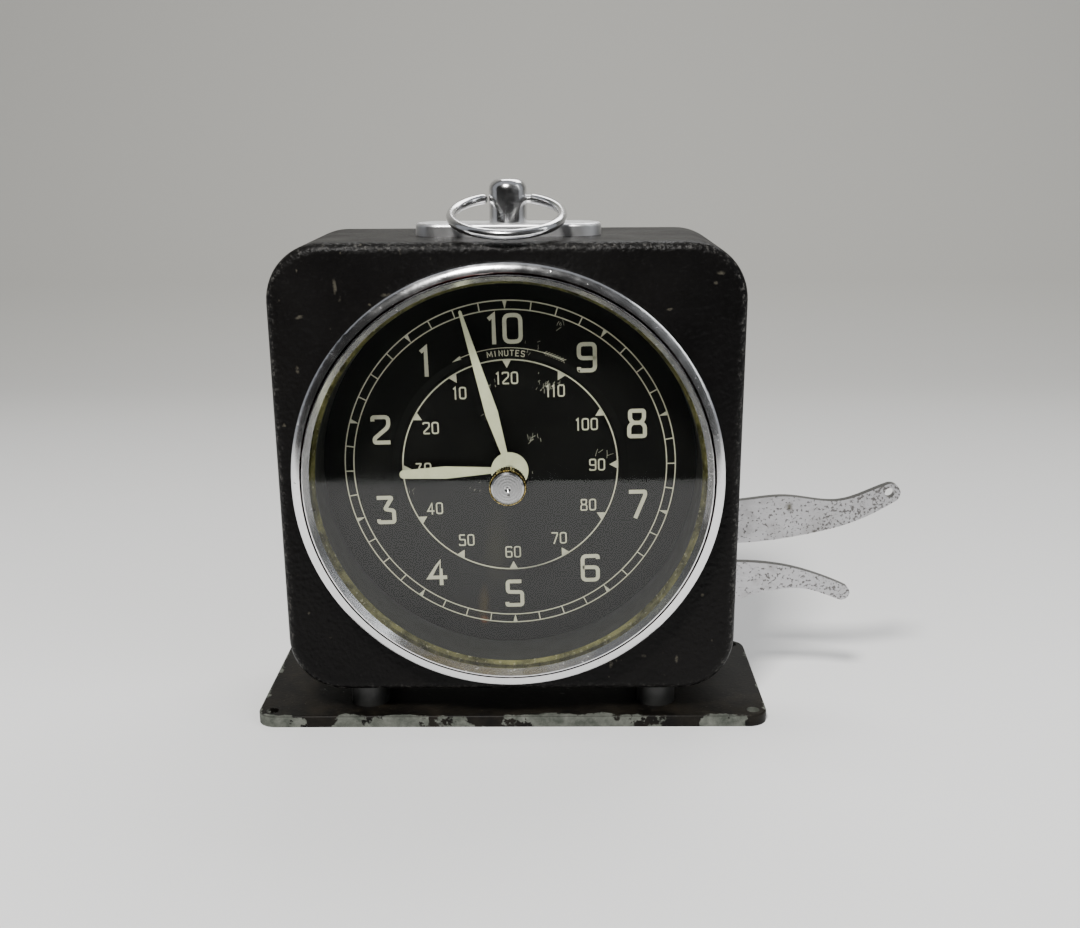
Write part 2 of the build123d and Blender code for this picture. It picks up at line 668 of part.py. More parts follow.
def bow():
    """Wire ring with a gap, its two ends turned in towards each other as pivots."""
    centre_y = -math.sqrt(BOW_R ** 2 - BOW_STUB_X ** 2)
    gap = math.degrees(math.asin(BOW_STUB_X / BOW_R))
    section = Plane.XZ * Pos(BOW_R, 0) * Circle(BOW_WIRE_R)
    ring = Rot(0, 0, 90 + gap) * revolve(section, Axis.Z, 360 - 2 * gap)
    ring = Pos(0, centre_y, 0) * ring
    for side in (-1, 1):
        stub = Rot(0, 90 * side, 0) * Cylinder(BOW_STUB_R, 4.0, align=(Align.CENTER, Align.CENTER, Align.MIN))
        ring += Pos(2.2 * side, 0, 0) * stub
        ring += Pos(BOW_STUB_X * side, 0, 0) * Sphere(BOW_WIRE_R)
    return Pos(0, MID_Y, BOW_PIVOT_Z) * Rot(BOW_TILT, 0, 0) * ring


# ---------------------------------------------------------------- striking and winding work

def bell():
    front, back = BELL_DEPTH
    outer = [(0, back), (BELL_R - 5, back), (BELL_R - 1.2, back - 1.6), (BELL_R, front)]
    inner = [(BELL_R - 1.1, front), (BELL_R - 2.3, back - 2.2), (BELL_R - 5.4, back - 1.1), (0, back - 1.1)]
    return turned(outer + inner, BELL_AT) - rod(1.5 + RUN, front, back + 1, BELL_AT)


def bell_stud():
    return rod(2.6, BACK_PLATE[1], BELL_DEPTH[1] - 1.1, BELL_AT)


def bell_screw():
    return screw(1.5, 2.6, 0.6, BELL_DEPTH[1] - 1.05, BELL_DEPTH[1], BELL_AT)


def hammer():
    dx = HAMMER_HEAD_AT[0] - HAMMER_PIVOT[0]
    dz = HAMMER_HEAD_AT[1] - HAMMER_PIVOT[1]
    length = math.hypot(dx, dz)
    arm = Pos((HAMMER_HEAD_AT[0] + HAMMER_PIVOT[0]) / 2, (HAMMER_HEAD_AT[1] + HAMMER_PIVOT[1]) / 2)
    arm = arm * Rot(0, 0, math.degrees(math.atan2(dz, dx))) * Rectangle(length, 1.8)
    face = arm + Pos(*HAMMER_PIVOT) * Circle(3.4) - Pos(*HAMMER_PIVOT) * Circle(1.2 + RUN)
    return slab(face, 39.6, 41.0) + rod(HAMMER_HEAD_R, 38.8, 42.4, HAMMER_HEAD_AT)


def hammer_stud():
    return rod(1.2, BACK_PLATE[0] + 0.5, 42, HAMMER_PIVOT)


def ratchet_wheel():
    points = []
    for i in range(RATCHET_TEETH):
        a = i * 360 / RATCHET_TEETH
        points += [polar(RATCHET_R - 1.1, a), polar(RATCHET_R, a + 13)]
    face = make_face(Polyline(*points, close=True)) - Circle(2.2 + FIT)
    return slab(Pos(*BARREL_AT) * face, 38.0, 39.3)


def click():
    """Pawl beside the ratchet wheel."""
    face = make_face(Polyline((3.2, 0), (0, 3.0), (-5.4, 5.6), (-4.6, 3.6), (0, -3.0), close=True)) + Circle(2.8)
    face -= Circle(1.2 + RUN)
    return slab(Pos(*CLICK_PIVOT) * face, 38.0, 39.3)


def click_stud():
    return rod(1.2, BACK_PLATE[1], 39.6, CLICK_PIVOT) + rod(2.2, 39.4, 40.2, CLICK_PIVOT)


def winding_key():
    """Butterfly key on the barrel arbor's end, behind the rear cover."""
    front = COVER[1] + 0.6
    hub = rod(3.6, front, front + 8, BARREL_AT) - rod(2.2 + FIT, front - 1, front + 3.5, BARREL_AT)
    middle = front + 7.4
    wings = Pos(0, middle) * Box(12, 5.8, KEY_T)
    for x in (-KEY_LOBE_X, KEY_LOBE_X):
        wings += Pos(x, middle) * Cylinder(KEY_LOBE_R, KEY_T)
    for x in (-KEY_LOBE_X - 0.6, KEY_LOBE_X + 0.6):
        wings -= Pos(x, middle) * Cylinder(2.2, KEY_T + 1)
    return hub + Pos(BARREL_AT[0], CASE_FRONT, DIAL_Z + BARREL_AT[1]) * Rot(0, -25, 0) * wings


NODES = [base_plate, base_spacers, base_screws, base_nuts, case_shell, rear_cover, rear_cover_screws,
         front_posts, rear_posts, bezel, bezel_lock_ring, glass, glass_ring, sight_ring, dial, dial_feet,
         long_hand, short_hand, hand_arbor, setting_knob, cannon_pinion, clutch_washer, minute_stud,
         minute_pinion, minute_wheel, hour_wheel, front_plate, back_plate, pillars, pillar_screws,
         barrel, barrel_cover, mainspring, barrel_arbor, centre_pinion, centre_wheel, third_pinion,
         third_wheel, escape_pinion, escape_wheel, pallet_lever, balance_wheel, hairspring,
         start_lever, stop_lever, lever_studs, lever_springs, top_plate, pendant, top_nuts, bow,
         bell, bell_stud, bell_screw, hammer, hammer_stud, ratchet_wheel, click, click_stud, winding_key]

for make in NODES:
    save(make(), make.__name__)
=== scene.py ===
import json
import math
import random

import bmesh
import bpy
from mathutils import Matrix, Vector

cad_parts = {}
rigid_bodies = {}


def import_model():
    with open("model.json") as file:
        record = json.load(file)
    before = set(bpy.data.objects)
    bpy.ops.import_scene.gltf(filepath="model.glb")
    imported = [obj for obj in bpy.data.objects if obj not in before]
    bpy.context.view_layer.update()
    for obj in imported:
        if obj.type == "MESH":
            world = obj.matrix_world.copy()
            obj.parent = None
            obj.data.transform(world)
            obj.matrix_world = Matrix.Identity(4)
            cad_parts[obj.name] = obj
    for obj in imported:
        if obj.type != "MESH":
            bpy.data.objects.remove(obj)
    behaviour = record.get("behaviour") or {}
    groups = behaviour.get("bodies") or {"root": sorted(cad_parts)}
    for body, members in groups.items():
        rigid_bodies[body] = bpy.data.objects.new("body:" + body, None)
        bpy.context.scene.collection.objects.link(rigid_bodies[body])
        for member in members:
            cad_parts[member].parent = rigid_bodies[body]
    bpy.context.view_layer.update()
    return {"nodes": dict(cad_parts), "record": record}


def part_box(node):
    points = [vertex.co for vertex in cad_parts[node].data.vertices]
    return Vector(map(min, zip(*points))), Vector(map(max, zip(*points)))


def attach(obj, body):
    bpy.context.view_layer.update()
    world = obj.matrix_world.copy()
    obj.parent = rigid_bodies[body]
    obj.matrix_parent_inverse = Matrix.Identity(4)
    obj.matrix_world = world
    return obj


# The looks of a mechanical interval timer, built round its CAD frame. Metres, +Z up, dial facing -Y.
# Dial print is laid out in millimetres as (u, v) from the dial's centre: u right, v up.

for leftover in list(bpy.data.objects):
    bpy.data.objects.remove(leftover)

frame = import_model()
NODES = frame["nodes"]

MM = 0.001
CASE_LOW, CASE_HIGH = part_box("case_shell")
FRONT_Y = CASE_LOW.y
DIAL_Z = (CASE_LOW.z + CASE_HIGH.z) / 2
DIAL_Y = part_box("dial")[0].y

# dial print, millimetres
PRINT_TILT = math.radians(1.2)
PRINT_T = 0.03
DIAL_STEP_R = 30.0
DIAL_INNER_R = 28.2
DIAL_RECESS = 0.5
TRACK_OUTER_R = 41.9
TRACK_INNER_R = 39.7
LINE_W = 0.27
SCALE_R = 27.3
NUMERAL_R = 33.9
TEN_R = 35.0
NUMERAL_BOX = (3.95, 6.5)
SMALL_NUMERAL_R = 22.7
SMALL_NUMERAL_BOX = (1.45, 2.75)
ARROW_R = 30.3
WORD_R = 28.95

# chrome parts, millimetres
BEZEL_GROOVE_R = 50.1
KNOB_SKIRT_AHEAD = 9.5

# stage, metres
SWEEP_HALF = 3.0
SWEEP_BACK_Y = 0.45
SWEEP_BEND = 0.35
FLAG_Y = -0.29
FLAG_HALF = 0.9
FLAG_TOP = 0.75


# ---------------------------------------------------------------- node helpers

class Graph:
    """A material's node tree with short calls for the nodes used here."""

    def __init__(self, name):
        material = bpy.data.materials.new(name)
        material.use_nodes = True
        self.attach(material)

    def attach(self, material):
        self.material = material
        self.tree = material.node_tree
        self.shader = self.tree.nodes["Principled BSDF"]
        coordinates = self.node("ShaderNodeTexCoord")
        self.place = coordinates.outputs["Object"]
        self.normal = coordinates.outputs["Normal"]

    @classmethod
    def reopen(cls, material):
        """A graph for more nodes in a finished material."""
        graph = cls.__new__(cls)
        graph.attach(material)
        return graph

    def node(self, kind, **settings):
        made = self.tree.nodes.new(kind)
        for key, value in settings.items():
            setattr(made, key, value)
        return made

    def put(self, socket, value):
        if isinstance(value, bpy.types.NodeSocket):
            self.tree.links.new(value, socket)
        else:
            socket.default_value = value

    def set(self, **values):
        """Set the shader's own sockets: base_color=..., roughness=..., metallic=..."""
        for key, value in values.items():
            self.put(self.shader.inputs[key.replace("_", " ").title().replace("Ior", "IOR")], value)

    def noise(self, scale, detail=4.0, roughness=0.5, stretch=None):
        made = self.node("ShaderNodeTexNoise")
        made.inputs["Scale"].default_value = scale
        made.inputs["Detail"].default_value = detail
        made.inputs["Roughness"].default_value = roughness
        place = self.place
        if stretch:
            mapping = self.node("ShaderNodeMapping")
            mapping.inputs["Scale"].default_value = stretch
            self.put(mapping.inputs["Vector"], place)
            place = mapping.outputs["Vector"]
        self.put(made.inputs["Vector"], place)
        return made.outputs["Fac"]

    def cells(self, scale, feature="F1"):
        made = self.node("ShaderNodeTexVoronoi", feature=feature)
        made.inputs["Scale"].default_value = scale
        self.put(made.inputs["Vector"], self.place)
        return made.outputs["Distance"]

    def math(self, operation, a, b=0.0, clamp=False):
        made = self.node("ShaderNodeMath", operation=operation, use_clamp=clamp)
        self.put(made.inputs[0], a)
        self.put(made.inputs[1], b)
        return made.outputs[0]

    def square(self, value):
        return self.math("MULTIPLY", value, value)

    def band(self, value, low, high, out_low=0.0, out_high=1.0):
        """Map a value from low..high to out_low..out_high, held at both ends."""
        made = self.node("ShaderNodeMapRange", clamp=True)
        self.put(made.inputs["Value"], value)
        made.inputs["From Min"].default_value = low
        made.inputs["From Max"].default_value = high
        made.inputs["To Min"].default_value = out_low
        made.inputs["To Max"].default_value = out_high
        return made.outputs["Result"]

    def mix(self, factor, a, b):
        made = self.node("ShaderNodeMix", data_type="RGBA")
        self.put(made.inputs["Factor"], factor)
        self.put(made.inputs[6], a if isinstance(a, bpy.types.NodeSocket) else (*a, 1.0))
        self.put(made.inputs[7], b if isinstance(b, bpy.types.NodeSocket) else (*b, 1.0))
        return made.outputs[2]

    def axes(self, vector):
        made = self.node("ShaderNodeSeparateXYZ")
        self.put(made.inputs[0], vector)
        return made.outputs

    def bump(self, height, distance, strength=1.0):
        made = self.node("ShaderNodeBump")
        made.inputs["Strength"].default_value = strength
        made.inputs["Distance"].default_value = distance
        self.put(made.inputs["Height"], height)
        return made.outputs["Normal"]

    def radius_about_dial(self):
        """Distance from the dial's axis, in metres."""
        x, _, z = self.axes(self.place)
        across = self.math("SUBTRACT", z, DIAL_Z)
        return self.math("SQRT", self.math("ADD", self.square(x), self.square(across)))

    def spot(self, u, v, half_u, half_v, groove_line, soft=0.9):
        """1 inside a ragged ellipse about (u, v) on the front, 0 outside. Millimetres."""
        x, _, z = self.axes(self.place)
        wobble = self.math("MULTIPLY", self.math("SUBTRACT", self.noise(420, 5.0, 0.65), 0.5), groove_line)
        across = self.math("ADD", self.math("SUBTRACT", self.math("MULTIPLY", x, 1000.0), u), wobble)
        upward = self.math("SUBTRACT", self.math("MULTIPLY", z, 1000.0), DIAL_Z / MM + v)
        across = self.math("DIVIDE", across, half_u)
        upward = self.math("DIVIDE", self.math("SUBTRACT", upward, wobble), half_v)
        far = self.math("SQRT", self.math("ADD", self.square(across), self.square(upward)))
        return self.band(far, 1.0 - soft, 1.1, 1.0, 0.0)

    def edge_wear(self, axis):
        """1 on a rounded edge between a face across an axis and the sides, 0 on flat faces."""
        square = self.square(self.axes(self.normal)[axis])
        between = self.math("MULTIPLY", square, self.math("SUBTRACT", 1.0, square))
        return self.math("MULTIPLY", between, 4.0, True)


# ---------------------------------------------------------------- materials

# Chips in the paint of the case's front: u and v of the middle, half width and half height.
CASE_CHIPS = [(50.2, 49.5, 1.1, 0.6), (49.0, 47.2, 0.5, 0.5), (-40.3, 46.6, 0.5, 1.9),
              (-27.5, 44.5, 2.2, 0.5), (-49.0, 39.5, 1.3, 0.5), (-50.2, 27.0, 0.5, 0.9),
              (34.0, -47.0, 0.6, 0.5), (42.5, -48.0, 0.5, 1.1), (25.6, -49.3, 0.6, 1.2),
              (48.5, -30.5, 0.5, 0.5), (-47.5, -25.0, 0.4, 0.5), (38.5, 41.0, 0.9, 0.4)]


def case_paint():
    """Black baked crackle paint: fine pebbles, dusty specks, small chips and a worn front edge."""
    g = Graph("case_paint")
    grain = g.noise(1150, 3.0, 0.6)
    pebbles = g.cells(900, "SMOOTH_F1")
    height = g.math("ADD", g.math("MULTIPLY", grain, 0.6), g.math("MULTIPLY", pebbles, 0.8))
    cloud = g.noise(28, 5.0, 0.6)
    tone = g.mix(g.band(cloud, 0.35, 0.7), (0.0012, 0.0010, 0.0010), (0.0034, 0.0030, 0.0028))
    edge = g.edge_wear(1)
    worn = g.math("MULTIPLY", edge, g.band(g.noise(900, 4.0, 0.75), 0.54, 0.64), True)
    tone = g.mix(g.math("MULTIPLY", worn, 0.42), tone, (0.13, 0.125, 0.115))
    flecks = g.band(g.noise(420, 2.0, 0.4), 0.72, 0.76)
    chips = g.math("MULTIPLY", flecks, g.band(g.noise(33, 2.0), 0.48, 0.6), True)
    front = g.band(g.math("ABSOLUTE", g.axes(g.normal)[1]), 0.3, 0.6)
    for u, v, half_u, half_v in CASE_CHIPS:
        chips = g.math("MAXIMUM", chips, g.math("MULTIPLY", front, g.spot(u, v, half_u, half_v, 1.6, 0.5)))
    rubbed = g.math("MULTIPLY", chips, g.band(g.noise(1500, 3.0, 0.7), 0.36, 0.52), True)
    tone = g.mix(g.math("MULTIPLY", rubbed, 0.4), tone, (0.11, 0.10, 0.075))
    dust = g.band(g.axes(g.normal)[2], 0.4, 1.0)
    dusty = g.math("MULTIPLY", dust, g.band(g.noise(700, 5.0, 0.75), 0.45, 0.75), True)
    tone = g.mix(g.math("MULTIPLY", dusty, 0.4), tone, (0.022, 0.020, 0.017))
    g.set(base_color=tone, roughness=g.band(g.noise(60, 4.0, 0.6), 0.3, 0.7, 0.36, 0.5),
          normal=g.bump(height, 0.0003, 0.85))
    g.shader.inputs["Specular IOR Level"].default_value = 0.11
    return g.material


def base_paint():
    """Black paint on the base, chipped along its edges to grey-green primer and bare steel."""
    g = Graph("base_paint")
    x, y, _ = g.axes(g.place)
    facing_up = g.axes(g.normal)[2]
    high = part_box("base_plate")[1]
    side = g.band(facing_up, 0.2, 0.9, 1.0, 0.0)
    top = g.band(facing_up, 0.5, 0.95)
    blotch = g.noise(95, 6.0, 0.62)
    fine = g.noise(700, 4.0, 0.6)
    torn = g.math("ADD", g.math("MULTIPLY", blotch, 0.86), g.math("MULTIPLY", fine, 0.14))
    chipped_side = g.math("MULTIPLY", side, g.band(torn, 0.475, 0.49), True)
    rim = g.math("MAXIMUM",
                 g.band(g.math("ABSOLUTE", x), high.x - 0.0022, high.x - 0.0004),
                 g.band(g.math("ABSOLUTE", y), high.y - 0.0022, high.y - 0.0004))
    rim_edge = g.math("SUBTRACT", torn, g.math("MULTIPLY", g.math("SUBTRACT", 1.0, rim), 0.14))
    chipped_top = g.math("MULTIPLY", top, g.band(rim_edge, 0.5, 0.52), True)
    chipped = g.math("MAXIMUM", chipped_side, chipped_top)
    brown = g.band(g.noise(120, 6.0, 0.7), 0.42, 0.72)
    paint = g.mix(brown, (0.0022, 0.0018, 0.0014), (0.0125, 0.0100, 0.0068))
    grit = g.band(g.noise(1300, 3.0, 0.6), 0.62, 0.74)
    paint = g.mix(g.math("MULTIPLY", g.math("MULTIPLY", grit, top), 0.45), paint, (0.085, 0.075, 0.055))
    primer = g.mix(g.band(g.noise(260, 5.0, 0.7), 0.35, 0.7), (0.050, 0.056, 0.046), (0.150, 0.155, 0.135))
    g.set(base_color=g.mix(chipped, paint, primer), metallic=g.math("MULTIPLY", chipped, 0.25),
          roughness=g.mix(chipped, (0.5, 0.5, 0.5), (0.62, 0.62, 0.62)))
    g.shader.inputs["Specular IOR Level"].default_value = 0.13
    sunk = g.math("MULTIPLY", chipped, -1.0)
    height = g.math("ADD", sunk, g.math("MULTIPLY", g.noise(900, 3.0, 0.6), 0.5))
    g.set(normal=g.bump(height, 0.00012, 0.8))
    return g.material


def chrome_plate(name="chrome_plate", haze=0.0):
    """Old chrome: bright, with hazy patches, pits and fine scratches."""
    g = Graph(name)
    cloud = g.noise(90, 5.0, 0.6)
    pits = g.band(g.noise(1700, 2.0, 0.5), 0.69, 0.75)
    patches = g.band(g.noise(260, 4.0, 0.6), 0.5, 0.68)
    pitted = g.math("MULTIPLY", pits, patches, True)
    bright = g.mix(cloud, (0.76, 0.76, 0.77), (0.88, 0.88, 0.88))
    g.set(base_color=g.mix(g.math("MULTIPLY", pitted, 0.75), bright, (0.13, 0.115, 0.095)), metallic=1.0)
    scratches = g.band(g.noise(500, 2.0, 0.5, (1.0, 1.0, 9.0)), 0.62, 0.7)
    rough = g.band(g.noise(170, 5.0, 0.65), 0.3, 0.75, 0.09 + haze, 0.24 + haze)
    marked = g.math("ADD", pitted, g.math("MULTIPLY", scratches, 0.25))
    g.set(roughness=g.math("ADD", rough, g.math("MULTIPLY", marked, 0.3)))
    height = g.math("SUBTRACT", g.math("MULTIPLY", g.noise(240, 2.0, 0.5), 0.25), pitted)
    g.set(normal=g.bump(height, 0.00004, 0.6))
    return g.material


def bezel_chrome():
    """The bezel's chrome, with a ragged dark red-brown line painted along the groove between its outer
    roll and inner ring.
    """
    material = chrome_plate("bezel_chrome", 0.02)
    g = Graph.reopen(material)
    groove = g.math("ABSOLUTE", g.math("SUBTRACT", g.radius_about_dial(), BEZEL_GROOVE_R * MM))
    # A ragged dark red-brown line is painted into the colour along the groove radius.
    deep = g.band(groove, 0.00012, 0.00034, 1.0, 0.0)
    groove_line = g.math("MULTIPLY", deep, g.band(g.noise(200, 4.0, 0.6), 0.25, 0.5, 0.55, 1.0))
    plain_chrome = g.shader.inputs["Base Color"].links[0].from_socket
    g.set(base_color=g.mix(groove_line, plain_chrome, (0.040, 0.015, 0.014)))
    return material


def plated_steel():
    """Dull nickel-plated lever steel with polished edges that carry a darker tone as painted shade, and
    pits that crowd towards the tips.
    """
    g = Graph("plated_steel")
    x = g.axes(g.place)[0]
    face = g.band(g.math("ABSOLUTE", g.axes(g.normal)[1]), 0.6, 0.9)
    brushed = g.noise(260, 4.0, 0.6, (0.35, 1.0, 3.0))
    stains = g.band(g.noise(120, 6.0, 0.72), 0.5, 0.72)
    crowd = g.band(x, 0.058, 0.092, 0.02, 0.115)
    pits = g.band(g.math("ADD", g.noise(1250, 3.0, 0.6), crowd), 0.635, 0.69)
    pits = g.math("MULTIPLY", pits, face)
    smudge = g.math("MULTIPLY", face, g.spot(73.6, -14.0, 1.2, 1.6, 2.4))
    tone = g.mix(brushed, (0.43, 0.425, 0.435), (0.60, 0.595, 0.61))
    tone = g.mix(g.math("MULTIPLY", stains, 0.4), tone, (0.30, 0.285, 0.27))
    tone = g.mix(g.math("MULTIPLY", pits, 0.8), tone, (0.07, 0.063, 0.055))
    tone = g.mix(g.math("MULTIPLY", smudge, 0.85), tone, (0.075, 0.068, 0.035))
    # Painted shade: every edge face gets a dark tone, standing in for the dark line along the levers'
    # edges.
    tone = g.mix(face, (0.16, 0.16, 0.165), tone)
    g.set(base_color=tone, metallic=1.0)
    rough = g.band(g.math("ADD", brushed, g.math("MULTIPLY", stains, 0.4)), 0.3, 1.0, 0.25, 0.5)
    g.set(roughness=g.math("MULTIPLY", rough, g.band(face, 0.0, 1.0, 0.35, 1.0)))
    g.set(normal=g.bump(g.math("SUBTRACT", g.math("MULTIPLY", brushed, 0.5), pits), 0.00006, 0.6))
    return g.material


def machined_steel():
    """Turned steel of screws, arbors and pinions."""
    g = Graph("steel")
    cloud = g.noise(300, 5.0, 0.6)
    g.set(base_color=g.mix(cloud, (0.38, 0.38, 0.39), (0.56, 0.56, 0.56)), metallic=1.0)
    g.set(roughness=g.band(cloud, 0.3, 0.7, 0.24, 0.42), normal=g.bump(g.noise(1400, 2.0), 0.00003, 0.4))
    return g.material


def brass_plate(name="brass_plate", light=(0.72, 0.53, 0.25), dark=(0.5, 0.35, 0.15), rough=0.3):
    """Brushed clock brass with a little tarnish."""
    g = Graph(name)
    brushed = g.noise(420, 4.0, 0.6, (4.0, 1.0, 0.4))
    tarnish = g.band(g.noise(70, 6.0, 0.65), 0.48, 0.75)
    tone = g.mix(brushed, dark, light)
    tone = g.mix(g.math("MULTIPLY", tarnish, 0.5), tone, tuple(0.4 * c for c in dark))
    g.set(base_color=tone, metallic=1.0)
    g.set(roughness=g.band(brushed, 0.3, 0.7, rough, rough + 0.2), normal=g.bump(brushed, 0.00003, 0.4))
    return g.material


def tarnished_brass():
    """The ring under the glass: brass gone olive, with bright rubbed flecks."""
    g = Graph("tarnished_brass")
    blotch = g.noise(240, 6.0, 0.7)
    flecks = g.band(g.noise(900, 4.0, 0.7), 0.58, 0.68)
    tone = g.mix(g.band(blotch, 0.35, 0.65), (0.06, 0.058, 0.018), (0.34, 0.32, 0.13))
    tone = g.mix(g.math("MULTIPLY", flecks, 0.7), tone, (0.75, 0.71, 0.45))
    g.set(base_color=tone, metallic=0.85, roughness=g.band(blotch, 0.3, 0.7, 0.3, 0.55))
    g.set(normal=g.bump(blotch, 0.00012, 0.6))
    return g.material


def black_enamel():
    """Satin black inside wall round the dial."""
    g = Graph("black_enamel")
    cloud = g.noise(160, 5.0, 0.6)
    g.set(base_color=g.mix(cloud, (0.0065, 0.0068, 0.0065), (0.018, 0.018, 0.016)))
    g.set(roughness=g.band(cloud, 0.3, 0.7, 0.34, 0.5), normal=g.bump(g.noise(900, 3.0), 0.00004, 0.4))
    return g.material


def dial_black():
    """Satin black dial with faint clouding and a rust stain that ran down to its lower edge."""
    g = Graph("dial_black")
    cloud = g.noise(75, 6.0, 0.65)
    tone = g.mix(g.band(cloud, 0.35, 0.7), (0.0010, 0.0010, 0.0010), (0.0032, 0.0031, 0.0028))
    run = g.spot(-7.2, -37.0, 1.6, 6.0, 3.5, 1.0)
    tone = g.mix(g.math("MULTIPLY", run, 0.7), tone, (0.050, 0.032, 0.008))
    haze = g.spot(-4.0, -22.0, 3.5, 12.0, 4.0, 1.0)
    tone = g.mix(g.math("MULTIPLY", haze, 0.25), tone, (0.040, 0.036, 0.014))
    pool = g.spot(-7.3, -41.2, 1.3, 1.1, 1.6)
    tone = g.mix(g.math("MULTIPLY", pool, 0.9), tone, (0.11, 0.034, 0.008))
    g.set(base_color=tone, roughness=g.band(cloud, 0.3, 0.7, 0.42, 0.58))
    g.set(normal=g.bump(g.noise(1300, 3.0), 0.00002, 0.5))
    g.shader.inputs["Specular IOR Level"].default_value = 0.12
    return g.material


def cream_print(name="cream_print", light=(0.53, 0.51, 0.40), dark=(0.41, 0.39, 0.29)):
    """Aged cream ink or lume paint, slightly uneven."""
    g = Graph(name)
    cloud = g.noise(330, 6.0, 0.7)
    tone = g.mix(g.band(cloud, 0.3, 0.7), dark, light)
    g.set(base_color=tone, roughness=g.band(cloud, 0.3, 0.7, 0.5, 0.7), normal=g.bump(cloud, 0.00004, 0.5))
    return g.material


def window_glass():
    """Thin clear clock glass that only mirrors a little of the room."""
    g = Graph("window_glass")
    g.tree.nodes.remove(g.shader)
    clear = g.node("ShaderNodeBsdfTransparent")
    clear.inputs["Color"].default_value = (0.965, 0.975, 0.955, 1.0)
    mirror = g.node("ShaderNodeBsdfGlossy")
    smears = g.noise(55, 5.0, 0.7)
    g.put(mirror.inputs["Roughness"], g.band(smears, 0.4, 0.75, 0.02, 0.1))
    fresnel = g.node("ShaderNodeFresnel")
    fresnel.inputs["IOR"].default_value = 1.5
    blend = g.node("ShaderNodeMixShader")
    outside = g.math("SUBTRACT", 1.0, g.node("ShaderNodeNewGeometry").outputs["Backfacing"])
    g.put(blend.inputs[0], g.math("MULTIPLY", g.math("MULTIPLY", fresnel.outputs[0], 1.2), outside))
    g.put(blend.inputs[1], clear.outputs[0])
    g.put(blend.inputs[2], mirror.outputs[0])
    g.put(g.tree.nodes["Material Output"].inputs["Surface"], blend.outputs[0])
    return g.material


def knob_metal():
    """Nickel knob: turned rings and a dimple on its face, two dark spots painted on the face, one over the
    dimple, and old brass and grime in the knurl.
    """
    g = Graph("knob_metal")
    radius = g.radius_about_dial()
    rings = g.math("SINE", g.math("MULTIPLY", radius, 9000.0))
    y = g.axes(g.place)[1]
    skirt_y = FRONT_Y - KNOB_SKIRT_AHEAD * MM
    skirt = g.band(y, skirt_y, skirt_y + 0.0002)
    cloud = g.noise(700, 5.0, 0.7)
    tone = g.mix(cloud, (0.36, 0.36, 0.36), (0.58, 0.58, 0.58))
    # Two dark spots are painted on the face, one over the central dimple.
    dark_spots = g.math("MAXIMUM", g.spot(0.25, -1.5, 0.42, 0.36, 0.3, 0.4), g.spot(-0.1, 0.35, 0.5, 0.35, 0.5))
    tone = g.mix(g.math("MULTIPLY", dark_spots, 0.8), tone, (0.05, 0.045, 0.04))
    brass = g.mix(g.band(g.noise(1500, 3.0), 0.42, 0.62), (0.10, 0.075, 0.012), (0.62, 0.50, 0.20))
    tone = g.mix(skirt, tone, brass)
    g.set(base_color=tone, metallic=1.0, roughness=g.band(cloud, 0.3, 0.8, 0.13, 0.26))
    g.set(normal=g.bump(g.math("ADD", g.math("MULTIPLY", rings, 0.3), cloud), 0.00001, 0.35))
    return g.material


# ---------------------------------------------------------------- flat print

def surface_depth(radius):
    """How far the dial's face lies behind its outer ring, in millimetres."""
    if radius >= DIAL_STEP_R:
        return 0.0
    if radius <= DIAL_INNER_R:
        return DIAL_RECESS
    return DIAL_RECESS * (DIAL_STEP_R - radius) / (DIAL_STEP_R - DIAL_INNER_R)


